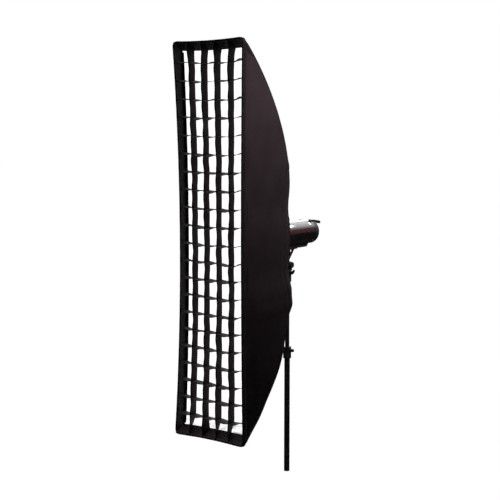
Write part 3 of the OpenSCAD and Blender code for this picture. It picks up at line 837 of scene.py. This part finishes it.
def level_strip(index):
    """One of the level strips: slack between the uprights, so that it hangs, sags and twists."""
    z0 = spread_out(-GRID_HALF_Z + index * ROW)
    hang = [h * draw.uniform(0.8, 1.25) + draw.uniform(-0.0012, 0.0012) for h in LEVEL_HANG]
    sag = [-draw.uniform(0.0022, 0.0070) for _ in range(GRID_COLS)]
    twist = [draw.uniform(-0.0030, 0.0012) for _ in range(GRID_COLS)]
    back_share = [draw.uniform(0.35, 0.95) for _ in range(GRID_COLS + 1)]
    steps = along_cells(GRID_COLS, 10)
    verts = []
    for q in DEPTH_STEPS:
        for cell, t in steps:
            ends = [hang[k] * (1 - q + q * back_share[k]) for k in (cell, cell + 1)]
            z = z0 + ends[0] * (1 - ease(t)) + ends[1] * ease(t)
            z += sag[cell] * hump(t) * (1 - 0.6 * q) + twist[cell] * math.sin(2 * math.pi * t) * (1 - q)
            z -= q * LEVEL_DROP * max(0.0, 0.25 - z0 / HALF_H)
            x = pulled_in(-GRID_HALF_X + (cell + t) * COL, z0)
            verts.append((x, grid_y(z0, q) + 0.0005, AXIS_Z + z))
    return verts, grid_faces(len(DEPTH_STEPS), len(steps))


def strips_piece(name, parts, look):
    """Several strips as one piece."""
    verts, faces = [], []
    for part_verts, part_faces in parts:
        faces += [tuple(i + len(verts) for i in f) for f in part_faces]
        verts += part_verts
    piece = add_mesh(name, verts, faces, look, "softbox")
    thicken(piece, STRIP_T, 0)


strips_piece("grid_uprights", [upright_strip(i) for i in range(1, GRID_COLS)], M["strip"])
# The level strips use the cloth that is painted lighter for the diffuser's light on their top faces.
strips_piece("grid_levels", [level_strip(i) for i in range(1, GRID_ROWS)], M["strip_painted_lit"])

RIM = rim_places(220, 60)


def surround_fold(point, tangent, q):
    """Folds of the surround between the uprights at its ends, and between the levels at its sides."""
    if abs(tangent.x) > 0.7:
        phase = ((point.x + GRID_HALF_X) / COL) % 1
        teeth = abs(2 * phase - 1)
        return 0.005 * (teeth * (1 - q) - (1 - teeth) * q * 0.7) * math.sin(math.pi * min(1, q * 0.9 + 0.1))
    phase = (point.z - AXIS_Z + GRID_HALF_Z) / ROW
    return 0.0016 * math.cos(2 * math.pi * phase) * math.sin(math.pi * q)


def grid_surround():
    """The strip round the grid, which lines the lip."""
    depth_rows = 9
    verts = []
    for r in range(depth_rows):
        q = r / (depth_rows - 1)
        for point, inward, tangent in rim_line(RIM, 0.002 + (GRID_TO + 0.001) * q):
            rough = 0.0006 * small_noise(point, 40, 15)
            verts.append(point + inward * (LIP_INSET + surround_fold(point, tangent, q) + rough))
    # The surround uses the same cloth, painted lighter for the diffuser's light.
    piece = add_mesh("grid_surround", verts, grid_faces(depth_rows, len(RIM), 0, True), M["strip_painted_lit"],
                     "softbox")
    thicken(piece, STRIP_T, 0)
    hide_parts("grid")


grid_surround()


# ---------------------------------------------------------------- diffusers

BORDER_W = 0.013        # width of the tape along the long sides
BORDER_END = 0.002      # and along the ends


def border_tape():
    """Hook tape round the front diffuser, which shows inside the surround."""
    rows, depth = 5, GRID_TO + 0.0015
    line = rim_line(RIM, depth)
    verts = []
    for r in range(rows):
        for point, inward, tangent in line:
            width = BORDER_END + (BORDER_W - BORDER_END) * abs(tangent.z) ** 2
            inset = LIP_INSET - 0.002 + (width + 0.002) * r / (rows - 1)
            wave = 0.0006 * small_noise(point, 30, 14)
            verts.append(point + inward * inset + Vector((0, wave, 0)))
    piece = add_mesh("border_tape", verts, grid_faces(rows, len(RIM), 0, True), M["hook"],
                     "softbox")
    thicken(piece, 0.0014, 0)
    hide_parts("diffuser_border")


def diffuser_sheet(name, look, half_size, y_at, belly, seed):
    """A thin white sheet with a slight billow. half_size and y_at are functions of the height t."""
    cols, rows = 30, 120
    half_z = half_size(0)[1]
    verts = []
    for r in range(rows):
        t = -1 + 2 * r / (rows - 1)
        half_x = half_size(t)[0]
        for c in range(cols):
            u = -1 + 2 * c / (cols - 1)
            edge = (1 - u ** 4) * (1 - t ** 12)
            wave = small_noise((half_x * u * 2, 0, half_z * t), 8, seed) * 0.0012
            verts.append((half_x * u, y_at(t) + (belly + wave) * edge, AXIS_Z + half_z * t))
    piece = add_mesh(name, verts, grid_faces(rows, cols), look, "softbox")
    thicken(piece, 0.0004, 0)
    return piece


def front_sheet():
    depth = GRID_TO + 0.0035
    half_z = GRID_END
    full_x = HALF_W - LIP_INSET - 0.007
    piece = diffuser_sheet("front_diffuser_cloth", M["diffuser"],
                           lambda t: (pulled_in(full_x, t * half_z), half_z),
                           lambda t: section_y(depth, t * half_z / HALF_H), 0.003, 11)
    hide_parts("front_diffuser")


def baffle_sheet():
    """The inner diffuser. Its sides are scalloped between its corner tabs."""
    half_x, half_z = baffle_high.x, baffle_high.z - AXIS_Z
    y = (baffle_low.y + baffle_high.y) / 2
    piece = diffuser_sheet("inner_diffuser_cloth", M["baffle"],
                           lambda t: (half_x * (1 - 0.05 * (1 - t * t)), half_z), lambda t: y, 0.004, 12)
    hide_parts("inner_diffuser")


def baffle_tabs():
    """Elastic straps from the inner diffuser's corners to the rods."""
    verts, faces = [], []
    y = (baffle_low.y + baffle_high.y) / 2
    for side, up in CORNERS:
        corner = Vector((side * (baffle_high.x - 0.006), y - 0.0012,
                         AXIS_Z + up * (baffle_high.z - AXIS_Z - 0.006)))
        end = corner + Vector((side * 0.014, -0.004, up * 0.016))
        along = (end - corner).normalized()
        across = along.cross(Vector((0, 1, 0))).normalized() * 0.006
        depth = Vector((0, 0.0005, 0))
        first = len(verts)
        for point in (corner, end):
            verts += [point + across - depth, point - across - depth, point - across + depth,
                      point + across + depth]
        faces += grid_faces(2, 4, first, True)
        faces += [(first + 3, first + 2, first + 1, first), (first + 4, first + 5, first + 6, first + 7)]
    add_mesh("baffle_tabs", verts, faces, M["elastic"], "softbox", smooth=False)


border_tape()
front_sheet()
baffle_tabs()
baffle_sheet()


# ---------------------------------------------------------------- blank labels on the barrel

# Name, middle y, length, and the lowest and highest angle above the horizontal in degrees
LABELS = [("label_rear", 0.1265, 0.020, 38, 54), ("label_front", -0.020, 0.050, 36, 46)]


def barrel_label(name, middle_y, length, low_angle, high_angle):
    """Plain foil patch on the barrel's right side, between two angles above the horizontal."""
    steps = 10
    radius = BARREL_R + 0.00025
    verts = []
    for y in (middle_y - length / 2, middle_y + length / 2):
        for i in range(steps):
            a = math.radians(low_angle + (high_angle - low_angle) * i / (steps - 1))
            verts.append((radius * math.cos(a), y, AXIS_Z + radius * math.sin(a)))
    piece = add_mesh(name, verts, grid_faces(2, steps), M["foil"], "head")
    thicken(piece, 0.0003, 0)


for label in LABELS:
    barrel_label(*label)


# ---------------------------------------------------------------- camera, light and floor

CAMERA_AZIMUTH = math.radians(38.21)
CAMERA_DISTANCE = 4.171
CAMERA_ABOVE = 0.407
CAMERA_YAW = math.radians(2.32)
CAMERA_PITCH = math.radians(-5.91)
CAMERA_LENS = 76.05


def make_camera():
    data = bpy.data.cameras.new("photo_camera")
    data.sensor_width = 36
    data.lens = CAMERA_LENS
    camera = bpy.data.objects.new("photo_camera", data)
    bpy.context.scene.collection.objects.link(camera)
    camera.location = (CAMERA_DISTANCE * math.sin(CAMERA_AZIMUTH),
                       FRONT_Y - CAMERA_DISTANCE * math.cos(CAMERA_AZIMUTH), AXIS_Z + CAMERA_ABOVE)
    heading = CAMERA_AZIMUTH - CAMERA_YAW
    camera.rotation_euler = (math.pi / 2 + CAMERA_PITCH, 0, heading)
    bpy.context.scene.camera = camera


def make_floor():
    size = 40
    mesh = bpy.data.meshes.new("studio_floor")
    corners = [(-size, -size, 0), (size, -size, 0), (size, size, 0), (-size, size, 0)]
    mesh.from_pydata(corners, [], [(0, 1, 2, 3)])
    floor = bpy.data.objects.new("studio_floor", mesh)
    bpy.context.scene.collection.objects.link(floor)
    floor.location.z = -0.0005
    mat = bpy.data.materials.new("pale_floor")
    mat.use_nodes = True
    tree = mat.node_tree
    tree.nodes.clear()
    seen = node(tree, "LightPath").outputs["Is Camera Ray"]
    glow = node(tree, "Emission")
    tree.links.new(seen, glow.inputs["Strength"])
    plain = node(tree, "BsdfDiffuse")
    plain.inputs["Color"].default_value = (0.08, 0.08, 0.08, 1)
    both = node(tree, "AddShader")
    out = node(tree, "OutputMaterial")
    tree.links.new(glow.outputs[0], both.inputs[0])
    tree.links.new(plain.outputs[0], both.inputs[1])
    tree.links.new(both.outputs[0], out.inputs["Surface"])
    mesh.materials.append(mat)


BACKDROP_WAY = (-0.58, 0.81, 0.1)


def make_world():
    """A white backdrop for the camera. Glossy surfaces also see the backdrop and a bright panel
    overhead, and matt ones get only a little light from above."""
    world = bpy.data.worlds.new("studio")
    bpy.context.scene.world = world
    world.use_nodes = True
    tree = world.node_tree
    tree.nodes.clear()
    direction = node(tree, "TexCoord").outputs["Generated"]
    split = node(tree, "SeparateXYZ")
    tree.links.new(direction, split.inputs["Vector"])
    toward = node(tree, "VectorMath", operation="DOT_PRODUCT")
    toward.inputs[1].default_value = BACKDROP_WAY
    tree.links.new(direction, toward.inputs[0])
    backdrop = remap(tree, toward.outputs["Value"], 0.05, 1.3, 0.5, 0.95)
    panel = remap(tree, split.outputs["Z"], 0.0, 2.8, 0.30, 0.54)
    low = remap(tree, split.outputs["Z"], 0.9, 0.12, -0.60, -0.50)
    rays = node(tree, "LightPath")
    shiny = maths(tree, "MAXIMUM", maths(tree, "MAXIMUM", backdrop, low), panel)
    shiny = maths(tree, "MULTIPLY", shiny, rays.outputs["Is Glossy Ray"])
    matt = remap(tree, split.outputs["Z"], 0.002, 0.14, 0.5, 1.0)
    strength = maths(tree, "MAXIMUM", rays.outputs["Is Camera Ray"], maths(tree, "MAXIMUM", shiny, matt))
    back = node(tree, "Background")
    back.inputs["Color"].default_value = (1, 1, 1, 1)
    tree.links.new(strength, back.inputs["Strength"])
    out = node(tree, "OutputWorld")
    tree.links.new(back.outputs[0], out.inputs["Surface"])


def area_light(name, at, target, size, power, spread=180, colour=(1, 1, 1)):
    data = bpy.data.lights.new(name, "AREA")
    data.shape = "RECTANGLE"
    data.size, data.size_y = size
    data.energy = power
    data.spread = math.radians(spread)
    data.color = colour
    light = bpy.data.objects.new(name, data)
    bpy.context.scene.collection.objects.link(light)
    light.location = at
    light.rotation_euler = (Vector(target) - Vector(at)).to_track_quat("-Z", "Y").to_euler()
    light.visible_camera = False


make_camera()
make_floor()
make_world()
area_light("high_side", (1.9, -0.2, 2.9), (0.1, -0.35, 1.85), (0.5, 0.5), 4.3, 46, (1, 0.88, 0.94))
area_light("behind", (-2.2, 2.6, 2.3), (0, 0, 1.1), (2.0, 2.0), 45)
area_light("fill", (-2.6, -3.4, 1.8), (0, -0.5, 1.1), (2.0, 2.0), 0.8)
bpy.context.scene.view_settings.view_transform = "Standard"
